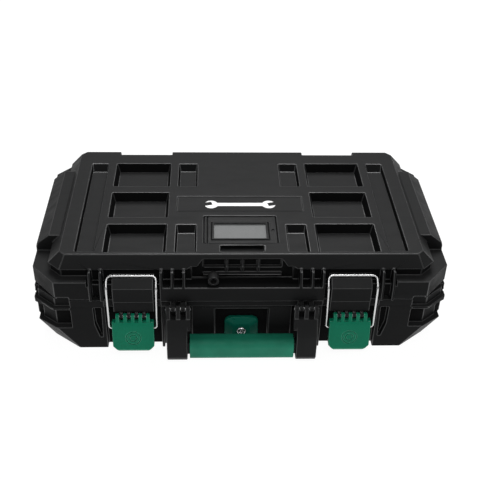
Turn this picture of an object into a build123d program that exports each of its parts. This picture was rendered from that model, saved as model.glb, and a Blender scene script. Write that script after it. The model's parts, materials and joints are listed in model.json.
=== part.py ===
from build123d import *

import os
from math import cos, radians, sin

# Socket wrench set in a moulded case, closed and latched.
# Millimetres. Origin at the centre of the bottom rest face, +Z up, the handle side faces -Y.

os.makedirs("parts", exist_ok=True)

# ---------------------------------------------------------------- driving dimensions
HEIGHT = 120.0          # rest face to the top of the lid
PARTING = 71.0          # plane where lid and base meet
SEAM = 0.4              # half of the daylight between the closing faces
RIM_X, RIM_Y = 226.5, 124.0
WALL_Y = 121.5          # front and rear walls of the base
BAY_Y = 113.0           # bottom of the bays in those walls
SHOULDER_Z = 32.0       # height where the base's tapered foot ends
RIM_Z = 62.0            # underside of the base's rim
LIP_Z = 60.4            # top of the thin lip at the base's corners
CAVITY_X, CAVITY_Y, CAVITY_CUT = 205.0, 105.0, 8.0
FLOOR_Z = 5.0

NECK_X, NECK_Y = 206.0, 112.0
FLANGE_TOP = 95.0
FRONT_Z = 90.0          # top of the flange along the middle of the front
BAND_Z = 105.5          # lower edge of the sloping band round the lid
TOP_X, TOP_Y, TOP_CUT = 194.0, 107.3, 6.0
BAND_X, BAND_Y, BAND_CUT = 207.5, 115.6, 13.5
POCKET_DEPTH = 11.0
LID_WALL = 3.6

HINGE_X, HINGE_Y, HINGE_R = 105.0, 131.0, 6.0
HINGE_PIN_R = 2.5
KNUCKLE_PITCH, KNUCKLE_W = 12.2, 11.6

LATCH_X = 118.0         # centre of each latch
LATCH_BAY = 30.2        # half width of its bay
HOOK_X = (94.6, 138.6)  # block the bail hooks over, and the matching block on the base
LEVER_W = 45.0
LEVER_PIVOT = (-129.0, 53.0)
LEVER_PIN_R = 1.5
KNUCKLE_R = 3.1         # round tops of the lever's fingers
FINGER_PITCH, FINGER_W = 8.2, 3.8
BAIL_PIVOT = (-131.0, 38.0)
BAIL_WIRE_R = 1.2
BAIL_KINK = (-128.0, 89.0)
BAIL_TOP = (-118.0, 99.4)
BAIL_HALF = 26.3

ARM_X = (59.2, 81.4)    # lower part of each handle arm
FORK_X = 68.75          # middle of the three fingers at its top
HANDLE_PIVOT = (-135.0, 67.8)
HANDLE_PIN_R = 1.6
ARM_PITCH, ARM_FINGER = 10.7, 4.8
ARM_SLOT_Z = 56.0       # bottom of the slots between an arm's fingers
GRIP_HALF = 56.7
GRIP_CENTRE = (-137.6, 16.9)
GRIP_D, GRIP_H = 21.0, 25.8

KNOB_Z = 24.5
VENT_X, VENT_Z = -31.0, 96.2
PANEL_Z = HEIGHT - 0.8  # floor of the shallow panel that carries the badge
TRAY_TOP = 46.0
FIT = 0.1               # radial clearance of a turning fit
FAR = 130.0             # beyond the front and rear walls, where cuts begin
ABOVE = HEIGHT + 1.0    # above the lid, where cuts end


# ---------------------------------------------------------------- shared builders
def save(builder, name):
    """Label a finished piece and write its STEP file."""
    builder.part.label = name
    export_step(builder.part, f"parts/{name}.step")


def octagon(half_x, half_y, cut_x, cut_y):
    """Corner points of a rectangle with its four corners cut off."""
    return [
        (half_x, -half_y + cut_y), (half_x, half_y - cut_y),
        (half_x - cut_x, half_y), (-half_x + cut_x, half_y),
        (-half_x, half_y - cut_y), (-half_x, -half_y + cut_y),
        (-half_x + cut_x, -half_y), (half_x - cut_x, -half_y),
    ]


def rectangle(x, y):
    """Corner points of a rectangle from two (low, high) pairs."""
    return [(x[0], y[0]), (x[1], y[0]), (x[1], y[1]), (x[0], y[1])]


def both(side, low, high):
    """The span low..high on the +X side, or its mirror image on the -X side."""
    return (low, high) if side > 0 else (-high, -low)


def prism(points, low, high):
    """A flat outline in X and Y raised from z = low to z = high."""
    with BuildPart() as solid:
        with BuildSketch(Plane.XY.offset(low)):
            Polygon(*points, align=None)
        extrude(amount=high - low)
    return solid.part


def frustum(low_points, low, high_points, high):
    """A straight-sided loft between two outlines at two heights."""
    with BuildPart() as solid:
        with BuildSketch(Plane.XY.offset(low)):
            Polygon(*low_points, align=None)
        with BuildSketch(Plane.XY.offset(high)):
            Polygon(*high_points, align=None)
        loft()
    return solid.part


def block(x, y, z):
    """A box from three (low, high) pairs."""
    return prism(rectangle(x, y), z[0], z[1])


def profile_x(points, x):
    """A side outline in Y and Z carried along X over the pair x."""
    with BuildPart() as solid:
        with BuildSketch(Plane.YZ.offset(x[0])):
            Polygon(*points, align=None)
        extrude(amount=x[1] - x[0])
    return solid.part


def profile_y(points, y):
    """A front outline in X and Z carried along Y over the pair y."""
    with BuildPart() as solid:
        with BuildSketch(Plane.XZ.offset(-y[0])):
            Polygon(*points, align=None)
        extrude(amount=y[0] - y[1])
    return solid.part


def rod_x(y, z, radius, x):
    """A round bar along X over the pair x."""
    with BuildPart() as solid:
        with BuildSketch(Plane.YZ.offset(x[0])):
            with Locations((y, z)):
                Circle(radius)
        extrude(amount=x[1] - x[0])
    return solid.part


def rod_y(x, z, radius, y):
    """A round bar along Y over the pair y."""
    with BuildPart() as solid:
        with BuildSketch(Plane.XZ.offset(-y[0])):
            with Locations((x, z)):
                Circle(radius)
        extrude(amount=y[0] - y[1])
    return solid.part


def rod_z(x, y, radius, z):
    """A round bar along Z over the pair z."""
    with BuildPart() as solid:
        with BuildSketch(Plane.XY.offset(z[0])):
            with Locations((x, y)):
                Circle(radius)
        extrude(amount=z[1] - z[0])
    return solid.part


def around(centre, half):
    """The span centre - half .. centre + half."""
    return (centre - half, centre + half)


def wider(span, margin):
    """A span with a margin added at both ends."""
    return (span[0] - margin, span[1] + margin)


def mirrored(points, side, face=1):
    """Outline points carried to the side (and face) given by the signs."""
    return [(side * px, face * py) for px, py in points]


def pocket(x, y, depth, inset, ramp=0.0):
    """A tapered pocket cut down from the top of the lid; ramp slopes its rear end."""
    top = HEIGHT + 0.5
    grow = 0.5 * inset / depth
    mouth = rectangle((x[0] - grow, x[1] + grow), (y[0] - grow, y[1] + grow))
    floor = rectangle((x[0] + inset, x[1] - inset), (y[0] + inset, y[1] - inset - ramp))
    return frustum(floor, HEIGHT - depth, mouth, top)


# ---------------------------------------------------------------- places shared by both shells
POCKET_X = (82.0, 148.0)
POCKET_ROWS = [(26.6, 78.5), (-38.0, 12.7), (-103.3, -52.0)]
SMALL_X = (49.5, 72.0)
GROOVE_X = (158.0, 178.0)
GROOVE_Y = (-102.0, 79.0)
RIBS = [62.4, 74.7, 86.5, 150.2, 161.8]
LABEL_X, LABEL_Y = (-40.6, 38.6), (-86.6, -36.4)
LABEL_Z, LABEL_GAP = HEIGHT - 3.2, 1.0
HINGE_CENTRES = [-HINGE_X, HINGE_X]
SIDES = [-1, 1]

BASE_KNUCKLES = [-2, 0, 2]
LID_KNUCKLES = [-1, 1]
LEVER_FINGERS = [-2, -1, 0, 1, 2]
LEVER_LUGS = [-1.5, -0.5, 0.5, 1.5]
ARM_FINGERS = [-1, 0, 1]
ARM_LUGS = [-0.5, 0.5]
SEAL_TOP = 75.6         # bottom of the groove that holds the seal, in the lid
SEAL_OUT = octagon(215.3, 116.0, 14.0, 14.0)
SEAL_IN = octagon(210.7, 111.4, 12.1, 12.1)


def knuckles(steps, web, bore):
    """Hinge knuckles on both hinges: round barrels with a web to the rim."""
    with BuildPart() as solid:
        for centre in HINGE_CENTRES:
            for step in steps:
                span = around(centre + step * KNUCKLE_PITCH, KNUCKLE_W / 2)
                add(rod_x(HINGE_Y, PARTING, HINGE_R, span))
                add(profile_x(web, span))
                add(rod_x(HINGE_Y, PARTING, bore, span), mode=Mode.SUBTRACT)
    return solid.part


# ---------------------------------------------------------------- base shell
BAY_TOP = 60.0          # top of the bays in the front wall
RECESS_Y = 115.0        # bottom of the shallower recesses
BASE_SLOT = [(152.4, 58.0), (161.2, 58.0), (160.6, 34.0), (156.0, 16.0), (153.2, 16.0)]
CORNER_RECESS = [(186.0, FAR), (186.0, 114.0), (203.0, 114.0), (219.0, 101.0), (219.0, 96.0),
                 (240.0, 96.0), (240.0, FAR)]
CORNER_LIP = [(185.5, 118.0), (185.5, RIM_Y), (204.0, RIM_Y), (RIM_X, 104.0), (RIM_X, 96.0),
              (219.0, 96.0)]
CORNER_GAP = [(185.5, FAR), (185.5, 119.6), (202.0, 119.6), (222.0, 102.0), (222.0, 96.0),
              (240.0, 96.0), (240.0, FAR)]

with BuildPart() as base_shell:
    foot = octagon(209.0, 121.0, 29.0, 23.0)
    wall = octagon(226.0, WALL_Y, 22.0, 16.0)
    add(frustum(foot, 0.0, wall, SHOULDER_Z))
    add(prism(wall, SHOULDER_Z, RIM_Z))
    add(prism(octagon(RIM_X, RIM_Y, 22.5, 20.0), RIM_Z, PARTING - SEAM))
    for side in SIDES:
        for face in SIDES:
            recess_y = both(face, RECESS_Y, FAR)
            add(profile_y(mirrored(BASE_SLOT, side), recess_y), mode=Mode.SUBTRACT)
            add(prism(mirrored(CORNER_RECESS, side, face), 30.0, 55.0), mode=Mode.SUBTRACT)
            # slot under the lid's flange, with a thin lip below it
            add(prism(mirrored(CORNER_LIP, side, face), LIP_Z - 2.6, LIP_Z))
            add(prism(mirrored(CORNER_GAP, side, face), LIP_Z, PARTING), mode=Mode.SUBTRACT)
        bay = both(side, LATCH_X - LATCH_BAY, LATCH_X + LATCH_BAY)
        add(block(bay, (-FAR, -BAY_Y), (-1.0, BAY_TOP)), mode=Mode.SUBTRACT)
        add(block(bay, (-FAR, -122.0), (BAY_TOP - 1.0, PARTING + 1.0)), mode=Mode.SUBTRACT)
        add(block(both(side, *HOOK_X), (-127.2, -112.0), (57.4, PARTING - SEAM)))
        add(block(both(side, 54.4, 84.8), (-FAR, -RECESS_Y), (-1.0, BAY_TOP)), mode=Mode.SUBTRACT)
        add(block(both(side, 12.0, 66.0), (RECESS_Y, FAR), (10.0, 56.0)), mode=Mode.SUBTRACT)
        add(block(both(side, 72.0, 142.0), (RECESS_Y, FAR), (10.0, 44.0)), mode=Mode.SUBTRACT)
        for low, high in [(-88.0, -35.0), (-27.0, 27.0), (35.0, 88.0)]:
            add(block(both(side, 214.0, 230.0), (low, high), (38.0, 57.0)), mode=Mode.SUBTRACT)
    add(block((-29.5, 29.5), (-FAR, -BAY_Y), (-1.0, 56.5)), mode=Mode.SUBTRACT)
    # inner tub and the tongue that meets the seal
    tub = octagon(CAVITY_X, CAVITY_Y, CAVITY_CUT, CAVITY_CUT)
    add(prism(tub, FLOOR_Z, 80.0), mode=Mode.SUBTRACT)
    add(prism(octagon(214.0, 114.7, 13.5, 13.5), PARTING - 1.0, PARTING + 0.2))
    add(prism(octagon(212.0, 112.7, 12.7, 12.7), PARTING - SEAM, 80.0), mode=Mode.SUBTRACT)
    add(prism(tub, PARTING - 2.0, 80.0), mode=Mode.SUBTRACT)
    # lugs that carry the latch levers and the handle
    for side in SIDES:
        for step in LEVER_LUGS:
            span = around(side * LATCH_X + step * FINGER_PITCH, 1.8)
            lug = [(-112.0, 58.0), (-126.0, 58.0), (-129.0, 55.4), (-129.0, 50.6), (-112.0, 44.0)]
            add(profile_x(lug, span))
            add(rod_x(*LEVER_PIVOT, KNUCKLE_R - 0.6, span))
        for step in ARM_LUGS:
            span = around(side * FORK_X + step * ARM_PITCH, 2.5)
            lug = [(-113.0, 70.0), (-134.0, 70.0), (-135.0, 65.2), (-124.0, 60.0), (-113.0, 50.0)]
            add(profile_x(lug, span))
            add(rod_x(*HANDLE_PIVOT, 3.1, span))
        add(rod_x(*LEVER_PIVOT, LEVER_PIN_R, around(side * LATCH_X, 28.0)), mode=Mode.SUBTRACT)
        add(rod_x(*HANDLE_PIVOT, HANDLE_PIN_R, around(side * FORK_X, 15.0)), mode=Mode.SUBTRACT)
    web = [(122.0, 70.3), (122.0, 50.0), (134.5, 66.0), (131.0, 70.3)]
    add(knuckles(BASE_KNUCKLES, web, HINGE_PIN_R))
    add(rod_y(0.0, KNOB_Z, 2.6, (-118.0, -100.0)), mode=Mode.SUBTRACT)
save(base_shell, "base_shell")

# ---------------------------------------------------------------- lid shell
NOSE_EDGE = [(54.6, FRONT_Z), (54.6, BAND_Z), (59.0, BAND_Z), (54.6, 108.1), (48.2, 108.1),
             (42.4, 115.0)]
NOSE_OUTLINE = NOSE_EDGE + [(-px, pz) for px, pz in reversed(NOSE_EDGE)]
NOSE_BACK = -108.4
CLOSING = PARTING + SEAM  # the lid's closing face
FLANGE_Y = 127.5        # front of the flange's middle and of the ribs
SIDE_RAIL = [(192.0, 117.5), (199.0, 115.0), (211.0, 115.0), (225.0, 104.0), (226.0, 100.0),
             (226.0, 90.0), (192.0, 90.0)]
CORNER_STEP = [(185.5, FAR), (185.5, 122.0), (199.3, 122.0), (224.0, 93.5), (224.0, 84.0),
               (240.0, 84.0), (240.0, FAR)]
HOOK = [(-111.0, CLOSING), (-128.5, CLOSING), (-128.5, 89.5), (-120.0, 97.4), (-111.0, 97.4)]
FRONT_RIB = [(-111.0, CLOSING), (-FLANGE_Y, CLOSING), (-FLANGE_Y, FRONT_Z),
             (-122.0, BAND_Z + 1.0), (-111.0, BAND_Z + 1.0)]
NOSE_RIB = [(-104.0, 115.2), (-109.4, 115.2), (-113.4, 108.0), (-113.4, 101.0), (-104.0, 98.0)]

with BuildPart() as lid_shell:
    add(prism(octagon(226.0, RIM_Y, 26.0, 30.0), CLOSING, FLANGE_TOP))
    add(block((-165.0, 165.0), (-FAR, -NECK_Y), (89.0, FLANGE_TOP + 2.0)), mode=Mode.SUBTRACT)
    add(block((-88.0, 88.0), (-FLANGE_Y, -NECK_Y), (CLOSING, FRONT_Z)))
    add(prism(octagon(NECK_X, NECK_Y, 13.0, 13.0), 90.0, BAND_Z + 0.5))
    add(frustum(octagon(BAND_X, BAND_Y, BAND_CUT, BAND_CUT), BAND_Z,
                octagon(TOP_X, TOP_Y, TOP_CUT, TOP_CUT), HEIGHT))
    for side in SIDES:
        add(profile_y(mirrored(SIDE_RAIL, side), (-66.0, 69.0)))
        for low, high in [(-52.0, -20.0), (-13.0, 19.0), (26.0, 58.0)]:
            add(block(both(side, 221.0, 230.0), (low, high), (76.0, 98.0)), mode=Mode.SUBTRACT)
        for face in SIDES:
            add(prism(mirrored(CORNER_STEP, side, face), PARTING, 74.8), mode=Mode.SUBTRACT)
        # latch bay with the block that the bail hooks over
        bay = both(side, LATCH_X - LATCH_BAY, LATCH_X + LATCH_BAY)
        add(block(bay, (-131.0, -119.0), (70.0, 96.0)), mode=Mode.SUBTRACT)
        add(profile_x(HOOK, both(side, *HOOK_X)))
        add(block(both(side, 150.2, 163.0), (-131.0, -119.0), (70.0, 96.0)), mode=Mode.SUBTRACT)
        for rib_x in RIBS:
            add(profile_x(FRONT_RIB, around(side * rib_x, 1.3)))
        # panels on the top
        for row in POCKET_ROWS:
            add(pocket(both(side, *POCKET_X), row, POCKET_DEPTH, 3.0), mode=Mode.SUBTRACT)
        for row in (POCKET_ROWS[0], POCKET_ROWS[2]):
            add(pocket(both(side, *SMALL_X), row, 7.0, 1.5, ramp=6.0), mode=Mode.SUBTRACT)
        add(pocket(both(side, *GROOVE_X), GROOVE_Y, 6.4, 1.2, ramp=9.0), mode=Mode.SUBTRACT)
        add(block(both(side, 81.5, 145.3), (100.3, FAR), (110.0, ABOVE)), mode=Mode.SUBTRACT)
    # recess in the middle of the front, with a ledge and three ribs
    add(profile_y(NOSE_OUTLINE, (-FAR, NOSE_BACK)), mode=Mode.SUBTRACT)
    add(block((-42.0, 42.0), (-120.0, -104.4), (103.6, 114.6)), mode=Mode.SUBTRACT)
    add(block((-42.0, 42.0), (-113.4, NOSE_BACK + 1.0), (95.8, 97.4)))
    for rib_x in (-17.0, 0.0, 17.0):
        add(profile_x(NOSE_RIB, around(rib_x, 1.1)))
    # shallow panels and the slot on the top's middle
    add(block((-72.0, 72.0), (-25.7, 4.5), (PANEL_Z, ABOVE)), mode=Mode.SUBTRACT)
    add(block(wider(LABEL_X, LABEL_GAP), wider(LABEL_Y, LABEL_GAP), (LABEL_Z, ABOVE)), mode=Mode.SUBTRACT)
    add(block((-23.6, 23.3), (-103.5, -91.6), (HEIGHT - 5.0, ABOVE)), mode=Mode.SUBTRACT)
    # inner space, stepped round the pockets so that the wall stays thin
    inner = octagon(200.0, 104.0, CAVITY_CUT, CAVITY_CUT)
    add(prism(inner, 70.0, 103.0), mode=Mode.SUBTRACT)
    with BuildPart(mode=Mode.PRIVATE) as crown:
        add(prism(octagon(186.0, 98.0, 8.0, 8.0), 102.0, HEIGHT - LID_WALL - 1.5))
        for side in SIDES:
            for row in POCKET_ROWS:
                cup_x = both(side, *wider(POCKET_X, LID_WALL))
                add(block(cup_x, wider(row, LID_WALL), (100.0, ABOVE)), mode=Mode.SUBTRACT)
            for row in (POCKET_ROWS[0], POCKET_ROWS[2]):
                cup_x = both(side, *wider(SMALL_X, LID_WALL))
                add(block(cup_x, wider(row, LID_WALL), (HEIGHT - 10.5, ABOVE)), mode=Mode.SUBTRACT)
            groove_cup = both(side, *wider(GROOVE_X, LID_WALL))
            add(block(groove_cup, (-110.0, 86.0), (HEIGHT - 10.0, ABOVE)), mode=Mode.SUBTRACT)
            add(block(both(side, 78.0, 149.0), (96.0, 110.0), (100.0, ABOVE)), mode=Mode.SUBTRACT)
        add(block((-44.5, 44.5), (-110.0, -32.0), (HEIGHT - 9.0, ABOVE)), mode=Mode.SUBTRACT)
    add(crown.part, mode=Mode.SUBTRACT)
    # seal groove
    add(prism(SEAL_OUT, PARTING - 1.0, SEAL_TOP), mode=Mode.SUBTRACT)
    add(prism(SEAL_IN, CLOSING, SEAL_TOP))
    add(prism(inner, 70.0, 90.0), mode=Mode.SUBTRACT)
    web = [(122.0, 71.8), (122.0, 90.0), (134.5, 76.0), (131.0, 71.8)]
    add(knuckles(LID_KNUCKLES, web, HINGE_PIN_R + FIT))
    add(rod_y(VENT_X, VENT_Z, 2.3, (-114.0, -100.0)), mode=Mode.SUBTRACT)
save(lid_shell, "lid_shell")

# ---------------------------------------------------------------- seal and lid foam
with BuildPart() as lid_seal:
    add(prism(octagon(215.1, 115.8, 13.9, 13.9), PARTING + 0.5, SEAL_TOP - 0.2))
    add(prism(octagon(210.9, 111.6, 12.2, 12.2), 70.0, 80.0), mode=Mode.SUBTRACT)
save(lid_seal, "lid_seal")

with BuildPart() as lid_foam:
    add(prism(octagon(197.0, 101.0, 8.0, 8.0), 76.0, 102.5))
save(lid_foam, "lid_foam")

# ---------------------------------------------------------------- latches, one on each side
WIRE_PATH = [(17.0, *BAIL_PIVOT), (BAIL_HALF - 0.6, *BAIL_PIVOT), (BAIL_HALF, *BAIL_KINK),
             (BAIL_HALF, *BAIL_TOP)]
LEVER_PLATE = [(-127.2, 47.4), (-132.6, 47.4), (-135.0, 43.0), (-139.6, 13.4), (-138.6, 11.2),
               (-134.8, 11.2), (-131.0, 22.0), (-128.0, 33.0)]
PAD_CENTRE, PAD_NORMAL = (-137.25, 28.5), (-29.6, 4.6)
PAD_RINGS = [(8.3, 7.4), (4.4, 3.5)]  # outer and inner radius
LATCH_PIN_HALF, HINGE_PIN_HALF = 18.2, 31.0

for side, word in ((-1, "left"), (1, "right")):
    middle = side * LATCH_X

    with BuildPart() as lever:
        add(profile_x(LEVER_PLATE, around(middle, LEVER_W / 2)))
        for step in LEVER_FINGERS:
            span = around(middle + step * FINGER_PITCH, FINGER_W / 2)
            add(rod_x(*LEVER_PIVOT, KNUCKLE_R, span))
            add(profile_x([(-126.0, 53.0), (-127.2, 46.0), (-132.8, 46.0), (-132.1, 53.0)], span))
        # raised rings on the finger pad
        pad = Plane(origin=(middle, *PAD_CENTRE), x_dir=(1, 0, 0), z_dir=(0, *PAD_NORMAL)).offset(-0.4)
        for outer, inner in PAD_RINGS:
            with BuildSketch(pad):
                Circle(outer)
                Circle(inner, mode=Mode.SUBTRACT)
            extrude(amount=0.85)
        # lower corners cut away
        for corner in SIDES:
            tip = middle + corner * LEVER_W / 2
            inner_tip = middle + corner * (LEVER_W / 2 - 7.0)
            cut = [(inner_tip, 10.0), (tip + corner, 10.0), (tip + corner, 18.6), (tip, 17.6)]
            add(profile_y(cut, (-142.0, -126.0)), mode=Mode.SUBTRACT)
        add(rod_x(*LEVER_PIVOT, LEVER_PIN_R + FIT, around(middle, 24.0)), mode=Mode.SUBTRACT)
        for corner in SIDES:
            hole = around(middle + corner * 20.0, 4.0)
            add(rod_x(*BAIL_PIVOT, BAIL_WIRE_R + FIT, hole), mode=Mode.SUBTRACT)
    save(lever, f"latch_lever_{word}")

    with BuildPart() as bail:
        with BuildLine() as path:
            right_side = [(middle + px, py, pz) for px, py, pz in WIRE_PATH]
            left_side = [(middle - px, py, pz) for px, py, pz in reversed(WIRE_PATH)]
            FilletPolyline(*right_side, *left_side, radius=[3.5, 8.0, 5.2, 5.2, 8.0, 3.5])
        with BuildSketch(Plane(origin=path.line @ 0, z_dir=path.line % 0)):
            Circle(BAIL_WIRE_R)
        sweep()
    save(bail, f"latch_bail_{word}")

    with BuildPart() as latch_pin:
        add(rod_x(*LEVER_PIVOT, LEVER_PIN_R, around(middle, LATCH_PIN_HALF)))
    save(latch_pin, f"latch_pin_{word}")

    with BuildPart() as handle_pin:
        add(rod_x(*HANDLE_PIVOT, HANDLE_PIN_R, around(side * FORK_X, ARM_PITCH + ARM_FINGER / 2 + 0.3)))
    save(handle_pin, f"handle_pin_{word}")

    with BuildPart() as hinge_pin:
        add(rod_x(HINGE_Y, PARTING, HINGE_PIN_R, around(side * HINGE_X, HINGE_PIN_HALF)))
    save(hinge_pin, f"hinge_pin_{word}")

# ---------------------------------------------------------------- carrying handle
CORE_Y, CORE_Z = around(GRIP_CENTRE[0], 5.0), around(GRIP_CENTRE[1], 7.4)
FINGER_R = 4.0
ARM_BACK, ARM_FACE = -130.6, -139.2  # Y of an arm's back and face at the slots
ARM = [(ARM_BACK, ARM_SLOT_Z), (ARM_FACE, ARM_SLOT_Z), (-142.4, 50.0), (-148.6, 38.0),
       (-149.0, 9.0), (-146.0, 4.2), (-135.0, 4.2), (-131.0, 11.0)]
SHOULDER = [(ARM_BACK, 43.0), (-145.0, 44.6), (-142.4, 50.0), (ARM_FACE, ARM_SLOT_Z),
            (ARM_BACK, ARM_SLOT_Z)]
FINGER = [(HANDLE_PIVOT[0] + FINGER_R, HANDLE_PIVOT[1]), (ARM_BACK, ARM_SLOT_Z - 1.0),
          (ARM_FACE, ARM_SLOT_Z - 1.0), (HANDLE_PIVOT[0] - FINGER_R, HANDLE_PIVOT[1])]

with BuildPart() as handle_frame:
    for side in SIDES:
        add(profile_x(ARM, both(side, *ARM_X)))
        add(profile_x(SHOULDER, both(side, FORK_X - ARM_PITCH - ARM_FINGER / 2, ARM_X[0] + 1.0)))
        for step in ARM_FINGERS:
            span = around(side * FORK_X + step * ARM_PITCH, ARM_FINGER / 2)
            add(rod_x(*HANDLE_PIVOT, FINGER_R, span))
            add(profile_x(FINGER, span))
        add(rod_x(*HANDLE_PIVOT, HANDLE_PIN_R + FIT, around(side * FORK_X, 15.0)), mode=Mode.SUBTRACT)
    add(block((-62.0, 62.0), CORE_Y, CORE_Z))
save(handle_frame, "handle_frame")

with BuildPart() as handle_grip:
    with BuildSketch(Plane.YZ.offset(-GRIP_HALF)):
        with Locations(GRIP_CENTRE):
            RectangleRounded(GRIP_D, GRIP_H, 8.0)
    extrude(amount=2 * GRIP_HALF)
    add(block((-60.0, 60.0), CORE_Y, CORE_Z), mode=Mode.SUBTRACT)
save(handle_grip, "handle_grip")

# ---------------------------------------------------------------- pressure release knob
KNOB_RIM = (37.4, 32.0, 8.0)   # width, height and corner radius of its rim
KNOB_TOP = (18.0, 17.0, 4.0)   # and of its raised face
KNOB_RIM_Y, KNOB_TOP_Y = 117.0, 121.0
SCREW_R, STEM_R = 5.0, 2.5


def knob_face(width, height, corner):
    """The knob's square face with rounded corners."""
    with Locations((0.0, KNOB_Z)):
        RectangleRounded(width, height, corner)


with BuildPart() as purge_knob:
    with BuildSketch(Plane.XZ.offset(BAY_Y + 0.4)):
        knob_face(*KNOB_RIM)
    extrude(amount=KNOB_RIM_Y - BAY_Y - 0.4)
    with BuildSketch(Plane.XZ.offset(KNOB_RIM_Y)):
        knob_face(*KNOB_RIM)
    with BuildSketch(Plane.XZ.offset(KNOB_TOP_Y)):
        knob_face(*KNOB_TOP)
    loft()
    add(rod_y(0.0, KNOB_Z, STEM_R, (-KNOB_TOP_Y - 1.0, -110.0)), mode=Mode.SUBTRACT)
save(purge_knob, "purge_knob")

with BuildPart() as purge_screw:
    add(rod_y(0.0, KNOB_Z, SCREW_R, (-KNOB_TOP_Y - 2.6, -KNOB_TOP_Y)))
    fillet(purge_screw.edges().group_by(Axis.Y)[0], 2.3)
    add(rod_y(0.0, KNOB_Z, STEM_R, (-KNOB_TOP_Y - 0.5, -107.0)))
    for half_x, half_z in ((0.6, 2.7), (2.7, 0.6)):
        add(block(around(0.0, half_x), (-124.0, -122.5), around(KNOB_Z, half_z)), mode=Mode.SUBTRACT)
save(purge_screw, "purge_screw")

with BuildPart() as vent_plug:
    add(rod_y(VENT_X, VENT_Z, 5.8, (-124.4, -113.5)))
    add(rod_y(VENT_X, VENT_Z, 2.2, (-114.0, -103.0)))
    add(rod_y(VENT_X, VENT_Z, 3.6, (-125.0, -118.0)), mode=Mode.SUBTRACT)
save(vent_plug, "vent_plug")

# ---------------------------------------------------------------- label holder on the lid
WINDOW_X, WINDOW_Y = (-30.2, 27.4), (-78.0, -50.0)
RING_W, MOAT_W = 2.2, 1.0  # raised border round the window and the groove round it
SLIDE_X = -37.8         # line where the frame slides open
ARROW_X, ARROW_Y = 34.6, -62.5

with BuildPart() as label_frame:
    add(block(LABEL_X, LABEL_Y, (LABEL_Z, HEIGHT - 0.7)))
    for border, low, mode in ((RING_W + MOAT_W, HEIGHT - 2.2, Mode.SUBTRACT), (RING_W, LABEL_Z, Mode.ADD)):
        add(block(wider(WINDOW_X, border), wider(WINDOW_Y, border), (low, HEIGHT - 0.2)), mode=mode)
    add(block(WINDOW_X, WINDOW_Y, (LABEL_Z - 1.0, HEIGHT + 1.0)), mode=Mode.SUBTRACT)
    add(block((SLIDE_X, SLIDE_X + 0.9), LABEL_Y, (HEIGHT - 1.7, HEIGHT)), mode=Mode.SUBTRACT)
    arrow = [(ARROW_X - 1.8, ARROW_Y), (ARROW_X + 1.4, ARROW_Y + 3.0), (ARROW_X + 1.4, ARROW_Y - 3.0)]
    add(prism(arrow, HEIGHT - 1.7, HEIGHT), mode=Mode.SUBTRACT)
save(label_frame, "label_frame")

with BuildPart() as label_card:
    add(block(WINDOW_X, WINDOW_Y, (LABEL_Z, LABEL_Z + 0.5)))
save(label_card, "label_card")

with BuildPart() as label_window:
    add(block(WINDOW_X, WINDOW_Y, (LABEL_Z + 0.6, LABEL_Z + 1.8)))
save(label_window, "label_window")

# ---------------------------------------------------------------- spanner-shaped badge on the lid
BADGE_Y, BADGE_HALF, BADGE_R = -11.8, 33.0, 7.8

with BuildPart() as lid_badge:
    with BuildSketch(Plane.XY.offset(PANEL_Z)):
        with Locations((0.0, BADGE_Y)):
            Rectangle(2 * BADGE_HALF, 6.4)
        for end in SIDES:
            with Locations((end * BADGE_HALF, BADGE_Y)):
                Circle(BADGE_R)
            with Locations((end * (BADGE_HALF + 4.6), BADGE_Y + 1.2)):
                Rectangle(11.0, 6.6, rotation=15.0, mode=Mode.SUBTRACT)
    extrude(amount=0.6)
save(lid_badge, "lid_badge")

# ---------------------------------------------------------------- tools in the tray
DRIVE = 12.7            # square drive, across flats
SQUARE_HOLE = DRIVE / 2 + FIT  # half width of a female drive
DRIVE_DEPTH = 15.5      # and its depth
SMALL_SOCKETS = [10, 11, 12, 13, 14, 15, 16, 17]
LARGE_SOCKETS = [18, 19, 21, 22, 24, 27, 30, 32]
SMALL_ROW = (-182.0, 39.5, -77.0)     # first centre, pitch, Y
LARGE_ROW = (-178.0, 50.8, 74.0)
SOCKET_BASE = 24.0

BALL_R, BALL_OFFSET = 2.5, DRIVE / 2 - 1.7  # detent balls, and their centre from a drive's axis

RATCHET_X, RATCHET_Y, RATCHET_Z = -165.0, 15.0, 46.0
PAWL_X = RATCHET_X + 20.5
GRIP_X = (-62.0, 92.0)
BAR_Y = -38.0
LONG_BAR = (-194.0, 56.0)
SHORT_BAR = (68.0, 193.0)
PLUG_SOCKET = (136.0, 200.0)
PLUG_Y = -77.0
BIN_X, BIN_Y, BIN_FLOOR = (112.0, 198.0), (-12.0, 42.0), 12.0


def socket_sizes(size):
    """Wrench-end radius, drive-end radius and length of a socket."""
    wrench = 0.66 * size + 1.3
    drive = max(11.0, 0.85 * wrench)
    length = 38.0 if size < 20 else 38.0 + 0.7 * (size - 20)
    return wrench, drive, length


def hexagon_hole(size, x, y, low, high):
    """A six-sided opening across flats size."""
    with BuildPart() as solid:
        with BuildSketch(Plane.XY.offset(low)):
            with Locations((x, y)):
                RegularPolygon(size / 2, 6, major_radius=False)
        extrude(amount=high - low)
    return solid.part


def socket_places():
    """Size and centre of every standing socket."""
    places = []
    for sizes, (first, pitch, y) in ((SMALL_SOCKETS, SMALL_ROW), (LARGE_SOCKETS, LARGE_ROW)):
        places += [(size, first + i * pitch, y) for i, size in enumerate(sizes)]
    return places


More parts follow.
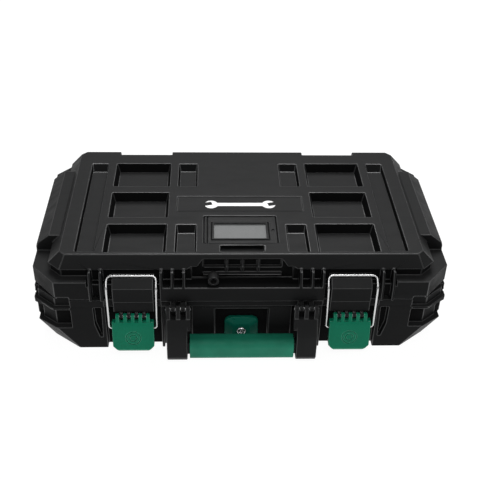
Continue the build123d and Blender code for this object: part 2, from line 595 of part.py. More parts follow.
for size, x, y in socket_places():
    wrench, drive, length = socket_sizes(size)
    top = SOCKET_BASE + length
    with BuildPart() as socket:
        with BuildSketch(Plane(origin=(x, y, SOCKET_BASE), x_dir=(1, 0, 0), z_dir=(0, -1, 0))):
            Polygon((0, 0), (drive - 0.8, 0), (drive, 0.8), (drive, 0.42 * length),
                    (wrench, 0.55 * length), (wrench, length - 0.8), (wrench - 0.8, length),
                    (0, length), align=None)
        revolve(axis=Axis((x, y, 0), (0, 0, 1)))
        square = around(x, SQUARE_HOLE), around(y, SQUARE_HOLE)
        add(block(*square, (SOCKET_BASE - 1, SOCKET_BASE + DRIVE_DEPTH)), mode=Mode.SUBTRACT)
        add(rod_z(x, y, 0.4 * size, (SOCKET_BASE, top)), mode=Mode.SUBTRACT)
        add(hexagon_hole(size + 0.2, x, y, top - 0.45 * length, top + 1), mode=Mode.SUBTRACT)
    save(socket, f"socket_{size:02d}")

with BuildPart() as spark_plug_socket:
    add(rod_x(PLUG_Y, TRAY_TOP, 12.2, PLUG_SOCKET))
    start = PLUG_SOCKET[0]
    square = around(PLUG_Y, SQUARE_HOLE), around(TRAY_TOP, SQUARE_HOLE)
    add(block((start - 1, start + DRIVE_DEPTH), *square), mode=Mode.SUBTRACT)
    add(rod_x(PLUG_Y, TRAY_TOP, 9.5, (start + 20.0, PLUG_SOCKET[1] + 1)), mode=Mode.SUBTRACT)
save(spark_plug_socket, "spark_plug_socket")

with BuildPart() as spark_plug_insert:
    add(rod_x(PLUG_Y, TRAY_TOP, 9.4, (start + 26.0, start + 46.0)))
    add(rod_x(PLUG_Y, TRAY_TOP, 5.5, (start + 20.0, start + 60.0)), mode=Mode.SUBTRACT)
save(spark_plug_insert, "spark_plug_insert")


def extension_bar(span):
    """A bar with a female drive at its -X end and a square male drive at its +X end."""
    with BuildPart() as bar:
        add(rod_x(BAR_Y, TRAY_TOP, 8.0, (span[0] + 20.0, span[1] - 15.0)))
        add(rod_x(BAR_Y, TRAY_TOP, 11.5, (span[0], span[0] + 26.0)))
        add(rod_x(BAR_Y, TRAY_TOP, 11.0, (span[1] - 27.0, span[1] - 15.0)))
        square = around(BAR_Y, DRIVE / 2), around(TRAY_TOP, DRIVE / 2)
        add(block((span[1] - 16.0, span[1]), *square))
        hollow = around(BAR_Y, SQUARE_HOLE), around(TRAY_TOP, SQUARE_HOLE)
        add(block((span[0] - 1.0, span[0] + 17.0), *hollow), mode=Mode.SUBTRACT)
        with Locations((span[1] - 8.0, BAR_Y, TRAY_TOP + BALL_OFFSET)):
            Sphere(BALL_R + 0.05, mode=Mode.SUBTRACT)
    return bar.part


for name, span in (("extension_long", LONG_BAR), ("extension_short", SHORT_BAR)):
    with BuildPart() as extension:
        add(extension_bar(span))
    save(extension, name)

with BuildPart() as extension_balls:
    for span in (LONG_BAR, SHORT_BAR):
        with Locations((span[1] - 8.0, BAR_Y, TRAY_TOP + BALL_OFFSET)):
            Sphere(BALL_R)
save(extension_balls, "extension_balls")

# ---------------------------------------------------------------- ratchet
HEAD_R, TAIL_R = 20.0, 15.0
SHANK_R, TANG_R = 7.0, 5.0
HEAD_LOW, HEAD_HIGH = RATCHET_Z - 8.0, RATCHET_Z + 8.0
GEAR_LOW, GEAR_HIGH = HEAD_LOW + 3.2, HEAD_HIGH - 3.2
COVER_LOW = HEAD_HIGH - 3.0
BALL_Z = HEAD_LOW - 9.0  # height of the ball in the square drive
TEETH = 36
GEAR_R, ROOT_R = 13.5, 12.3
PAWL_SWING = 5.0        # degrees each side of its middle
TIP_ANGLE, TIP_R = 40.0, 12.6


def at_head(points):
    """Shift outline points from the ratchet's drive axis into the model."""
    return [(RATCHET_X + px, RATCHET_Y + py) for px, py in points]


def turned(point, angle):
    """A point turned about the origin by an angle in degrees."""
    px, py = point
    turn = radians(angle)
    return (px * cos(turn) - py * sin(turn), px * sin(turn) + py * cos(turn))


def head_outline(ring, tail):
    """Pear-shaped outline of the ratchet head: two discs and the strip between them."""
    with BuildSketch() as outline:
        with Locations((RATCHET_X, RATCHET_Y)):
            Circle(ring)
        with Locations((PAWL_X + 1.5, RATCHET_Y)):
            Circle(tail)
        make_hull()
    return outline.sketch


def head_layer(ring, tail, low, high):
    """The pear outline raised between two heights."""
    with BuildPart() as solid:
        with BuildSketch(Plane.XY.offset(low)):
            add(head_outline(ring, tail))
        extrude(amount=high - low)
    return solid.part


PAWL_ROOM = [(8.0, 12.6), (18.0, 9.5), (26.0, 6.0), (26.0, -6.0), (18.0, -9.5), (8.0, -12.6)]
SCREW_PLACES = [(RATCHET_X - 4.0, RATCHET_Y + 16.2), (RATCHET_X - 4.0, RATCHET_Y - 16.2),
                (PAWL_X + 11.0, RATCHET_Y)]

with BuildPart() as ratchet_body:
    add(head_layer(HEAD_R, TAIL_R, HEAD_LOW, HEAD_HIGH))
    add(rod_x(RATCHET_Y, RATCHET_Z, SHANK_R, (PAWL_X + 10.0, GRIP_X[0] + 2.0)))
    add(rod_x(RATCHET_Y, RATCHET_Z, TANG_R, (GRIP_X[0], GRIP_X[1] - 10.0)))
    add(head_layer(HEAD_R - 1.4, TAIL_R - 1.4, COVER_LOW, HEAD_HIGH + 1), mode=Mode.SUBTRACT)
    add(rod_z(RATCHET_X, RATCHET_Y, 14.0, (GEAR_LOW - 0.1, HEAD_HIGH)), mode=Mode.SUBTRACT)
    add(prism(at_head(PAWL_ROOM), GEAR_LOW - 0.1, HEAD_HIGH), mode=Mode.SUBTRACT)
    add(rod_z(RATCHET_X, RATCHET_Y, 9.6, (HEAD_LOW - 1, GEAR_LOW)), mode=Mode.SUBTRACT)
    for x, y in SCREW_PLACES:
        add(rod_z(x, y, 1.1, (COVER_LOW - 5.0, HEAD_HIGH)), mode=Mode.SUBTRACT)
save(ratchet_body, "ratchet_body")

with BuildPart() as ratchet_cover:
    add(head_layer(HEAD_R - 1.5, TAIL_R - 1.5, COVER_LOW + 0.05, HEAD_HIGH))
    add(rod_z(RATCHET_X, RATCHET_Y, 6.2, (COVER_LOW - 1, HEAD_HIGH + 1)), mode=Mode.SUBTRACT)
    add(rod_z(PAWL_X, RATCHET_Y, 3.2, (COVER_LOW - 1, HEAD_HIGH + 1)), mode=Mode.SUBTRACT)
    for x, y in SCREW_PLACES:
        add(rod_z(x, y, 1.1, (COVER_LOW - 1, HEAD_HIGH + 1)), mode=Mode.SUBTRACT)
        add(rod_z(x, y, 1.9, (HEAD_HIGH - 1.2, HEAD_HIGH + 1)), mode=Mode.SUBTRACT)
save(ratchet_cover, "ratchet_cover")

with BuildPart() as ratchet_screws:
    for x, y in SCREW_PLACES:
        add(rod_z(x, y, 1.08, (COVER_LOW - 4.5, HEAD_HIGH - 1.2)))
        add(rod_z(x, y, 1.85, (HEAD_HIGH - 1.2, HEAD_HIGH - 0.1)))
        add(block(around(x, 1.3), around(y, 0.25), (HEAD_HIGH - 0.7, HEAD_HIGH)), mode=Mode.SUBTRACT)
save(ratchet_screws, "ratchet_screws")

with BuildPart() as ratchet_grip:
    with BuildSketch(Plane(origin=(GRIP_X[0], RATCHET_Y, RATCHET_Z), x_dir=(1, 0, 0), z_dir=(0, -1, 0))):
        with BuildLine():
            Polyline((0.0, 0.0), (0.0, 8.5), (6.0, 11.0), (14.0, 11.0), (20.0, 12.5))
            Spline((20.0, 12.5), (70.0, 14.2), (120.0, 14.6), (146.0, 13.6), (154.0, 9.0),
                   tangents=[(1, 0.1), (0, -1)])
            Polyline((154.0, 9.0), (154.0, 0.0), (0.0, 0.0))
        make_face()
    revolve(axis=Axis((0, RATCHET_Y, RATCHET_Z), (1, 0, 0)))
    add(rod_x(RATCHET_Y, RATCHET_Z, SHANK_R, (GRIP_X[0] - 1.0, GRIP_X[0] + 2.0)), mode=Mode.SUBTRACT)
    add(rod_x(RATCHET_Y, RATCHET_Z, TANG_R, (GRIP_X[0], GRIP_X[1] - 10.0)), mode=Mode.SUBTRACT)
save(ratchet_grip, "ratchet_grip")


def gear_outline():
    """Outline of the ratchet gear: a tooth centred half a pitch off every tenth degree."""
    points = []
    pitch = 360.0 / TEETH
    for tooth in range(TEETH):
        middle = (tooth + 0.5) * pitch
        for offset, radius in ((-4.0, ROOT_R), (-1.2, GEAR_R), (1.2, GEAR_R), (4.0, ROOT_R)):
            turn = radians(middle + offset)
            points.append((radius * cos(turn), radius * sin(turn)))
    return points


with BuildPart() as ratchet_gear:
    add(prism(at_head(gear_outline()), GEAR_LOW, GEAR_HIGH))
    add(rod_z(RATCHET_X, RATCHET_Y, 9.4, (HEAD_LOW, GEAR_LOW + 1)))
    add(rod_z(RATCHET_X, RATCHET_Y, 6.0, (GEAR_HIGH - 1, HEAD_HIGH)))
    add(block(around(RATCHET_X, DRIVE / 2), around(RATCHET_Y, DRIVE / 2), (HEAD_LOW - 17.0, HEAD_LOW)))
    add(rod_z(RATCHET_X, RATCHET_Y, 3.1, (HEAD_LOW + 3.0, HEAD_HIGH + 1)), mode=Mode.SUBTRACT)
    add(rod_x(RATCHET_Y, BALL_Z, BALL_R + 0.05, (RATCHET_X + 2.0, RATCHET_X + 8.0)), mode=Mode.SUBTRACT)
save(ratchet_gear, "ratchet_gear")

with BuildPart() as drive_ball:
    with Locations((RATCHET_X + BALL_OFFSET, RATCHET_Y, BALL_Z)):
        Sphere(BALL_R)
save(drive_ball, "drive_ball")

with BuildPart() as release_button:
    add(rod_z(RATCHET_X, RATCHET_Y, 3.0, (HEAD_LOW + 5.0, HEAD_HIGH + 0.5)))
    add(rod_z(RATCHET_X, RATCHET_Y, 5.2, (HEAD_HIGH + 1.9, HEAD_HIGH + 3.6)))
    add(rod_z(RATCHET_X, RATCHET_Y, 3.0, (HEAD_HIGH, HEAD_HIGH + 2.0)))
save(release_button, "release_button")


def pawl_side(sign):
    """One half of the pawl's outline about its pivot, from its tooth round to its heel, unturned."""
    tooth = [(14.2, TIP_ANGLE - 3.0), (TIP_R, TIP_ANGLE), (14.2, TIP_ANGLE + 3.0)]
    points = [(-6.2, 0.0), (-7.0, 5.5)]
    for radius, angle in tooth:
        px, py = radius * cos(radians(angle)), radius * sin(radians(angle))
        points.append(turned((px - (PAWL_X - RATCHET_X), py), -PAWL_SWING))
    points += [(-6.8, 9.8), (-1.0, 5.2), (3.5, 3.0)]
    return [(px, sign * py) for px, py in points]


with BuildPart() as ratchet_pawl:
    outline = pawl_side(1) + pawl_side(-1)[:0:-1]
    outline = [turned(point, PAWL_SWING) for point in outline]
    add(prism([(PAWL_X + px, RATCHET_Y + py) for px, py in outline], GEAR_LOW + 0.1, GEAR_HIGH - 0.1))
save(ratchet_pawl, "ratchet_pawl")

PADDLE = [(0.0, 4.4), (13.0, 3.2), (16.0, 0.0), (13.0, -3.2), (0.0, -4.4)]

with BuildPart() as reversing_lever:
    add(rod_z(PAWL_X, RATCHET_Y, 3.0, (GEAR_HIGH, HEAD_HIGH + 0.5)))
    add(rod_z(PAWL_X, RATCHET_Y, 5.0, (HEAD_HIGH + 0.3, HEAD_HIGH + 4.0)))
    paddle = [turned(point, 20.0) for point in PADDLE]
    add(prism([(PAWL_X + px, RATCHET_Y + py) for px, py in paddle], HEAD_HIGH + 0.3, HEAD_HIGH + 3.0))
save(reversing_lever, "reversing_lever")

# ---------------------------------------------------------------- tool tray
CLEAR_Z = 60.0          # above the tray, where its cuts end

with BuildPart() as tool_tray:
    add(prism(octagon(204.3, 104.3, 8.0, 8.0), FLOOR_Z + 0.2, TRAY_TOP))
    for size, x, y in socket_places():
        wrench, drive, _ = socket_sizes(size)
        add(rod_z(x, y, drive + 0.4, (SOCKET_BASE - 0.2, CLEAR_Z)), mode=Mode.SUBTRACT)
        add(rod_z(x, y, wrench + 0.5, (SOCKET_BASE + 14.0, CLEAR_Z)), mode=Mode.SUBTRACT)
    for span in (LONG_BAR, SHORT_BAR):
        add(rod_x(BAR_Y, TRAY_TOP, 8.4, span), mode=Mode.SUBTRACT)
        add(rod_x(BAR_Y, TRAY_TOP, 11.9, (span[0] - 1.0, span[0] + 27.0)), mode=Mode.SUBTRACT)
        add(rod_x(BAR_Y, TRAY_TOP, 11.4, (span[1] - 28.0, span[1] + 1.0)), mode=Mode.SUBTRACT)
    add(rod_x(PLUG_Y, TRAY_TOP, 12.6, (PLUG_SOCKET[0] - 1.0, PLUG_SOCKET[1] + 1.0)), mode=Mode.SUBTRACT)
    add(head_layer(HEAD_R + 1.0, TAIL_R + 1.0, HEAD_LOW - 0.5, CLEAR_Z), mode=Mode.SUBTRACT)
    add(rod_z(RATCHET_X, RATCHET_Y, 13.0, (HEAD_LOW - 19.0, CLEAR_Z)), mode=Mode.SUBTRACT)
    add(rod_x(RATCHET_Y, RATCHET_Z, 8.5, (PAWL_X, GRIP_X[0] + 8.0)), mode=Mode.SUBTRACT)
    add(rod_x(RATCHET_Y, RATCHET_Z, 15.0, (GRIP_X[0] - 1.5, GRIP_X[1] + 1.5)), mode=Mode.SUBTRACT)
    add(block(BIN_X, BIN_Y, (BIN_FLOOR, CLEAR_Z)), mode=Mode.SUBTRACT)
    # finger relief beside the ratchet's grip and the long bar
    add(block((-10.0, 30.0), around(RATCHET_Y, 26.0), (30.0, CLEAR_Z)), mode=Mode.SUBTRACT)
save(tool_tray, "tool_tray")
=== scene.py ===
import json
from math import cos, pi, radians, sin

import bmesh
import bpy
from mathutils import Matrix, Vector
from mathutils.bvhtree import BVHTree

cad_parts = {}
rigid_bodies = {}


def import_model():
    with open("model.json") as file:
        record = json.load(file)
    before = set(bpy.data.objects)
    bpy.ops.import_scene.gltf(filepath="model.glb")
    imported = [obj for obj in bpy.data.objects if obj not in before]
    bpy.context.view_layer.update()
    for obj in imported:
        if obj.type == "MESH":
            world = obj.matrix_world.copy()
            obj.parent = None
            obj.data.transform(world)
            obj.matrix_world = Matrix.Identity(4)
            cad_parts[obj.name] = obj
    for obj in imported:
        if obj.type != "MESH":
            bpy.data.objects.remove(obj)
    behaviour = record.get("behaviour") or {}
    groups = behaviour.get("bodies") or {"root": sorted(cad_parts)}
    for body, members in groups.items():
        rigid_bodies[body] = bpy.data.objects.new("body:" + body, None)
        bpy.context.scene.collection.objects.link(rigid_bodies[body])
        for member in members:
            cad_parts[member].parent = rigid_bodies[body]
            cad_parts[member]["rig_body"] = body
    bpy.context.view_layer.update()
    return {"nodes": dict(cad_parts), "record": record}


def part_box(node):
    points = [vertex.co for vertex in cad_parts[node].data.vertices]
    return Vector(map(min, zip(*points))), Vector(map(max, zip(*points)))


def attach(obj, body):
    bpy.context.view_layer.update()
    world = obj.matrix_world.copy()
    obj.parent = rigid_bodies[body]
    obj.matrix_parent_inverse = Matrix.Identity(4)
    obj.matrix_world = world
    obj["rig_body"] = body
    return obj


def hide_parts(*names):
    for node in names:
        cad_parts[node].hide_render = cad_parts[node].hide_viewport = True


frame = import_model()

MM = 0.001
NODE_BODY = {node: obj["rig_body"] for node, obj in frame["nodes"].items()}
NODE_SLOT = {entry["node"]: entry["material_slot"] for entry in frame["record"]["subparts"]}


# ---------------------------------------------------------------- camera, light and floor
CASE_MIDDLE, CASE_FRONT = (0.0, 0.0, 0.05), (0.0, -0.05, 0.05)
# name, place, the point it is aimed at, side of its square in metres, power in watts
LIGHTS = [
    ("top_light", (0.08, 0.8, 1.5), CASE_MIDDLE, 1.0, 29.0),
    ("front_light", (0.15, -1.2, 1.6), CASE_FRONT, 1.0, 10.0),
    ("left_light", (-1.3, -0.9, 0.9), CASE_FRONT, 0.9, 3.0),
    ("right_light", (1.4, -0.6, 1.0), CASE_FRONT, 0.9, 2.5),
]
SURROUNDINGS = 0.18
FLOOR_HALF, FLOOR_GREY, FLOOR_GLOW = 12.0, 0.12, 0.95


def make_camera():
    """The camera stands in front of the case, a little to the left, and looks down at it."""
    data = bpy.data.cameras.new("camera")
    data.sensor_width = 36.0
    data.lens = 63.75
    camera = bpy.data.objects.new("camera", data)
    camera.location = (-0.0354, -0.8266, 0.6590)
    camera.rotation_euler = (radians(54.12), radians(-1.153), radians(-1.727))
    bpy.context.scene.collection.objects.link(camera)
    bpy.context.scene.camera = camera


def area_light(name, place, target, size, power):
    """A square soft light aimed at a point."""
    data = bpy.data.lights.new(name, "AREA")
    data.shape = "SQUARE"
    data.size = size
    data.energy = power
    light = bpy.data.objects.new(name, data)
    light.location = place
    light.rotation_euler = (Vector(target) - Vector(place)).to_track_quat("-Z", "Y").to_euler()
    bpy.context.scene.collection.objects.link(light)


def make_stage():
    """White light table, pale surroundings and four soft lights."""
    world = bpy.data.worlds.new("studio")
    world.use_nodes = True
    background = world.node_tree.nodes["Background"]
    background.inputs["Color"].default_value = (1.0, 1.0, 1.0, 1.0)
    background.inputs["Strength"].default_value = SURROUNDINGS
    bpy.context.scene.world = world
    bpy.context.scene.view_settings.view_transform = "Standard"
    for light in LIGHTS:
        area_light(*light)

    mesh = bpy.data.meshes.new("floor")
    half = FLOOR_HALF
    corners = [(-half, -half, 0), (half, -half, 0), (half, half, 0), (-half, half, 0)]
    mesh.from_pydata(corners, [], [(0, 1, 2, 3)])
    floor = bpy.data.objects.new("floor", mesh)
    paint = bpy.data.materials.new("floor_paint")
    paint.use_nodes = True
    shader = paint.node_tree.nodes["Principled BSDF"]
    shader.inputs["Base Color"].default_value = (FLOOR_GREY, FLOOR_GREY, FLOOR_GREY, 1.0)
    shader.inputs["Roughness"].default_value = 0.9
    shader.inputs["Specular IOR Level"].default_value = 0.1
    shader.inputs["Emission Color"].default_value = (1.0, 1.0, 1.0, 1.0)
    shader.inputs["Emission Strength"].default_value = FLOOR_GLOW
    mesh.materials.append(paint)
    bpy.context.scene.collection.objects.link(floor)


make_camera()
make_stage()


# ---------------------------------------------------------------- materials
# nearly all of a noise's values lie between these two
NOISE_LOW, NOISE_HIGH = 0.3, 0.7
# colour of the painted top light that lightens upward faces, and the upward parts of a surface's
# direction where it begins and is full
PAINTED_UPWARD_LIGHT = (0.045, 0.0453, 0.0456)
PAINTED_UPWARD_LIGHT_BEGINS, PAINTED_UPWARD_LIGHT_FULL = 0.2, 0.8


class Paint:
    """A material being wired up: a Principled shader fed by noises in object space."""

    def __init__(self, name, roughness=0.5, metallic=0.0, specular=0.5):
        self.material = bpy.data.materials.new(name)
        self.material.use_nodes = True
        self.nodes = self.material.node_tree.nodes
        self.links = self.material.node_tree.links
        self.shader = self.nodes["Principled BSDF"]
        self.shader.inputs["Roughness"].default_value = roughness
        self.shader.inputs["Metallic"].default_value = metallic
        self.shader.inputs["Specular IOR Level"].default_value = specular
        self.place = self.nodes.new("ShaderNodeTexCoord").outputs["Object"]

    def noise(self, scale, detail=3.0, stretch=None):
        """A noise whose features measure about 1 / scale metres."""
        node = self.nodes.new("ShaderNodeTexNoise")
        node.inputs["Scale"].default_value = scale
        node.inputs["Detail"].default_value = detail
        if stretch is None:
            self.links.new(self.place, node.inputs["Vector"])
        else:
            mapping = self.nodes.new("ShaderNodeMapping")
            mapping.inputs["Scale"].default_value = stretch
            self.links.new(self.place, mapping.inputs["Vector"])
            self.links.new(mapping.outputs["Vector"], node.inputs["Vector"])
        return node.outputs["Fac"]

    def ramp(self, value, stops):
        """Colours or greys between stops of (position, colour)."""
        node = self.nodes.new("ShaderNodeValToRGB")
        ramp = node.color_ramp
        while len(ramp.elements) < len(stops):
            ramp.elements.new(0.5)
        for element, (position, colour) in zip(ramp.elements, stops):
            element.position = position
            element.color = (*colour, 1.0)
        self.links.new(value, node.inputs["Fac"])
        return node.outputs["Color"]

    def span(self, value, low, high):
        """A noise's value brought to low..high."""
        node = self.nodes.new("ShaderNodeMapRange")
        node.inputs["From Min"].default_value = NOISE_LOW
        node.inputs["From Max"].default_value = NOISE_HIGH
        node.inputs["To Min"].default_value = low
        node.inputs["To Max"].default_value = high
        self.links.new(value, node.inputs["Value"])
        return node.outputs["Result"]

    def mix(self, factor, first, second):
        """Two colours mixed by a factor."""
        node = self.nodes.new("ShaderNodeMix")
        node.data_type = "RGBA"
        self.links.new(factor, node.inputs["Factor"])
        self.links.new(first, node.inputs["A"])
        self.links.new(second, node.inputs["B"])
        return node.outputs["Result"]

    def upward_lighted(self, base, amount):
        """A colour painted lighter on the surfaces that face up in the object's own space: painted
        top light.
        """
        split = self.nodes.new("ShaderNodeSeparateXYZ")
        place = self.nodes.new("ShaderNodeTexCoord")
        self.links.new(place.outputs["Normal"], split.inputs["Vector"])
        cover = self.nodes.new("ShaderNodeMapRange")
        cover.inputs["From Min"].default_value = PAINTED_UPWARD_LIGHT_BEGINS
        cover.inputs["From Max"].default_value = PAINTED_UPWARD_LIGHT_FULL
        cover.inputs["To Max"].default_value = amount
        self.links.new(split.outputs["Z"], cover.inputs["Value"])
        node = self.nodes.new("ShaderNodeMix")
        node.data_type = "RGBA"
        node.inputs["B"].default_value = (*PAINTED_UPWARD_LIGHT, 1.0)
        self.links.new(cover.outputs["Result"], node.inputs["Factor"])
        self.links.new(base, node.inputs["A"])
        return node.outputs["Result"]

    def colour(self, value):
        """Feeds the shader's colour."""
        self.links.new(value, self.shader.inputs["Base Color"])

    def rough(self, value):
        """Feeds the shader's roughness."""
        self.links.new(value, self.shader.inputs["Roughness"])

    def bump(self, height, distance, strength=1.0):
        """Adds one more layer of relief to the surface."""
        node = self.nodes.new("ShaderNodeBump")
        node.inputs["Distance"].default_value = distance
        node.inputs["Strength"].default_value = strength
        self.links.new(height, node.inputs["Height"])
        normal = self.shader.inputs["Normal"]
        if normal.is_linked:
            self.links.new(normal.links[0].from_socket, node.inputs["Normal"])
        self.links.new(node.outputs["Normal"], normal)


def shade(colour, factor):
    """A colour made lighter or darker."""
    return tuple(channel * factor for channel in colour)


FINE_GRAIN, COARSE_GRAIN, CARD_GRAIN = 0.00006, 0.0001, 0.00003
# how strongly the edges painted as highlights shine, and how much smoother they are
HIGHLIT_EDGE_GLOSS, HIGHLIT_EDGE_POLISH = 0.4, 0.1


def moulded_plastic(name, colour, roughness, grain=FINE_GRAIN, shiny_edge=False, gloss=0.11, upward_light=0.0):
    """Injection-moulded plastic: spark-eroded grain, faint flow clouds and scuffs.

    An edge material shines more and is smoother. The last argument is the share of an upward
    surface that a painted top light covers.
    """
    paint = Paint(name, roughness, specular=HIGHLIT_EDGE_GLOSS if shiny_edge else gloss)
    clouds = paint.noise(14.0, 4.0)
    speckle = paint.noise(900.0, 2.0)
    base = paint.ramp(clouds, [(0.3, shade(colour, 0.88)), (0.7, shade(colour, 1.14))])
    fine = paint.ramp(speckle, [(0.35, shade(colour, 0.8)), (0.65, shade(colour, 1.25))])
    mixer = paint.span(paint.noise(60.0, 2.0), 0.25, 0.5)
    # painted top light: the colour is lighter on upward faces
    paint.colour(paint.upward_lighted(paint.mix(mixer, base, fine), upward_light))
    scuffs = paint.noise(90.0, 6.0, stretch=(0.35, 1.0, 1.0))
    polish = HIGHLIT_EDGE_POLISH if shiny_edge else 0.0
    paint.rough(paint.span(scuffs, roughness - 0.07 - polish, roughness + 0.09 - polish))
    paint.bump(paint.noise(1500.0, 2.0), grain)
    paint.bump(paint.noise(260.0, 3.0), grain * 1.6, 0.6)
    return paint.material


METAL_RELIEF = 0.0000008


def metal(name, colour, roughness, grain_scale=400.0, stretch=(1.0, 1.0, 1.0)):
    """Bright metal with fine grinding marks and faint smears."""
    paint = Paint(name, roughness, metallic=1.0)
    smears = paint.noise(45.0, 4.0)
    paint.colour(paint.ramp(smears, [(0.3, shade(colour, 0.9)), (0.7, shade(colour, 1.06))]))
    marks = paint.noise(grain_scale, 4.0, stretch=stretch)
    paint.rough(paint.span(marks, roughness * 0.92, roughness * 1.1))
    paint.bump(marks, METAL_RELIEF)
    return paint.material


def rubber(name, colour, roughness, grain=COARSE_GRAIN, scale=1100.0):
    """Soft grip rubber with a matt skin and a dusty bloom."""
    paint = Paint(name, roughness, specular=0.2)
    bloom = paint.noise(35.0, 5.0)
    paint.colour(paint.ramp(bloom, [(0.3, shade(colour, 0.86)), (0.72, shade(colour, 1.2))]))
    paint.rough(paint.span(paint.noise(120.0, 4.0), roughness - 0.08, roughness + 0.1))
    paint.bump(paint.noise(scale, 2.0), grain)
    return paint.material


def foam(name, colour):
    """Open-cell foam: pores and a soft mottled colour."""
    paint = Paint(name, 0.95, specular=0.1)
    pores = paint.noise(700.0, 3.0)
    paint.colour(paint.ramp(pores, [(0.35, shade(colour, 0.55)), (0.6, shade(colour, 1.15))]))
    paint.bump(pores, 0.0004)
    return paint.material


def glass(name):
    """Clear window sheet with faint wipe marks."""
    paint = Paint(name, 0.06)
    paint.shader.inputs["Base Color"].default_value = (0.6, 0.62, 0.62, 1.0)
    paint.shader.inputs["Alpha"].default_value = 0.1
    paint.rough(paint.span(paint.noise(160.0, 5.0, stretch=(0.2, 1.0, 1.0)), 0.04, 0.14))
    return paint.material


BLACK = (0.0096, 0.0099, 0.0102)
# lighter black and green for the rounded edges: painted highlights
BLACK_HIGHLIT_EDGE = (0.020, 0.0205, 0.021)
GREEN = (0.0012, 0.150, 0.080)
GREEN_HIGHLIT_EDGE = (0.010, 0.230, 0.130)
# the purge knob's green, darker than GREEN: painted shade
GREEN_SHADED = (0.0008, 0.090, 0.058)
GRIP_GREEN = (0.009, 0.165, 0.098)

PAINTS = {
    # case_black is darker overall and painted lighter on upward faces as painted top light;
    # handle_black a little
    "case_black": moulded_plastic("case_black", shade(BLACK, 0.8), 0.46, gloss=0.05, upward_light=0.3),
    "case_black_edge": moulded_plastic("case_black_edge", BLACK_HIGHLIT_EDGE, 0.44, shiny_edge=True),
    # painted shade: a darker black, also rougher and coarser-grained, for faces in recesses and
    # under overhangs
    "case_black_shaded": moulded_plastic(
        "case_black_shaded", shade(BLACK, 0.5), 0.7, COARSE_GRAIN, gloss=0.03),
    "frame_black": moulded_plastic("frame_black", shade(BLACK, 0.9), 0.4),
    "handle_black": moulded_plastic("handle_black", shade(BLACK, 1.1), 0.5, gloss=0.08, upward_light=0.1),
    "handle_black_edge": moulded_plastic("handle_black_edge", BLACK_HIGHLIT_EDGE, 0.46, shiny_edge=True),
    "green_plastic": moulded_plastic("green_plastic", GREEN, 0.42),
    "green_plastic_edge": moulded_plastic("green_plastic_edge", GREEN_HIGHLIT_EDGE, 0.38, shiny_edge=True),
    "green_plastic_shaded": moulded_plastic("green_plastic_shaded", GREEN_SHADED, 0.36),
    "green_grip": rubber("green_grip", GRIP_GREEN, 0.6),
    "bright_wire": metal("bright_wire", (0.62, 0.62, 0.62), 0.26, 260.0, (1.0, 1.0, 0.1)),
    "steel_pin": metal("steel_pin", (0.52, 0.52, 0.53), 0.34),
    "polished_steel": metal("polished_steel", (0.66, 0.66, 0.68), 0.2),
    "socket_chrome": metal("socket_chrome", (0.62, 0.63, 0.65), 0.24, 700.0, (1.0, 1.0, 0.25)),
    "gear_steel": metal("gear_steel", (0.36, 0.36, 0.38), 0.42),
    "seal_rubber": rubber("seal_rubber", (0.018, 0.018, 0.019), 0.62),
    "grip_rubber": rubber("grip_rubber", (0.02, 0.02, 0.021), 0.58, 0.00016, 700.0),
    "grey_foam": foam("grey_foam", (0.075, 0.076, 0.08)),
    "tray_foam": foam("tray_foam", (0.03, 0.03, 0.031)),
    "label_grey": moulded_plastic("label_grey", (0.115, 0.115, 0.115), 0.8, CARD_GRAIN),
    "clear_window": glass("clear_window"),
    "badge_white": moulded_plastic("badge_white", (0.86, 0.86, 0.86), 0.5, CARD_GRAIN),
}

# nodes painted apart from their slot: the purge knob in a darker copy of the green as painted
# shade, the label frame in a black of its own without the lighter edge paint
OWN_PAINT = {"purge_knob": "green_plastic_shaded", "label_frame": "frame_black"}


# ---------------------------------------------------------------- painted shade in pockets, bays and under ledges
# a face counts as square to an axis when its normal's part along that axis is more than this
SQUARE_ON = 0.93
# the walls of the pockets on the lid's top: the half size of the area, and the heights
POCKETS_X, POCKETS_Y = 180.0 * MM, 104.0 * MM
POCKETS_LOW, POCKETS_HIGH = 104.0 * MM, 119.6 * MM
# the ledges low on the lid's front lie in front of LEDGE_Y and below LEDGE_Z
LEDGE_Y, LEDGE_Z = -110.0 * MM, 92.5 * MM
# the back walls of the bays in the front: the spans of Y that they lie in
BACK_WALLS = {
    "base_shell": [(-115.5 * MM, -112.5 * MM)],
    "lid_shell": [(-119.5 * MM, -118.5 * MM), (-112.5 * MM, -104.0 * MM)],
}


def paints_for(node):
    """The main material of a node and the one for its rounded edges, painted lighter as a
    highlight.
    """
    name = OWN_PAINT.get(node, NODE_SLOT[node])
    return PAINTS[name], PAINTS.get(name + "_edge", PAINTS[name])


def in_painted_shade(node, face):
    """Whether a face gets painted shade: a pocket's wall on the lid's top, or a bay's back or ledge
    in the front.
    """
    if node not in BACK_WALLS:
        return False
    x, y, z = face.calc_center_median()
    normal = face.normal
    if normal.y < -SQUARE_ON and any(low < y < high for low, high in BACK_WALLS[node]):
        return True
    if node != "lid_shell":
        return False
    if y < LEDGE_Y and z < LEDGE_Z and normal.z > SQUARE_ON:
        return True
    among_pockets = abs(x) < POCKETS_X and abs(y) < POCKETS_Y
    return among_pockets and POCKETS_LOW < z < POCKETS_HIGH and normal.z < SQUARE_ON


# ---------------------------------------------------------------- rounding the CAD pieces
# the materials of a rounded piece, by index: main, the edges' painted highlight, and painted shade
MAIN, HIGHLIT_EDGE, SHADED = 0, 1, 2
WELD = 2e-6
BEVEL_SEGMENTS, BEVEL_ANGLE = 2, radians(28.0)
# how much a large face outweighs its neighbours in the normals: flat mouldings, and all others
FLAT_WEIGHT, ROUND_WEIGHT = 90, 50
# the share of the rounding's width that a point may lie off the source's surface
STRAY = 0.6


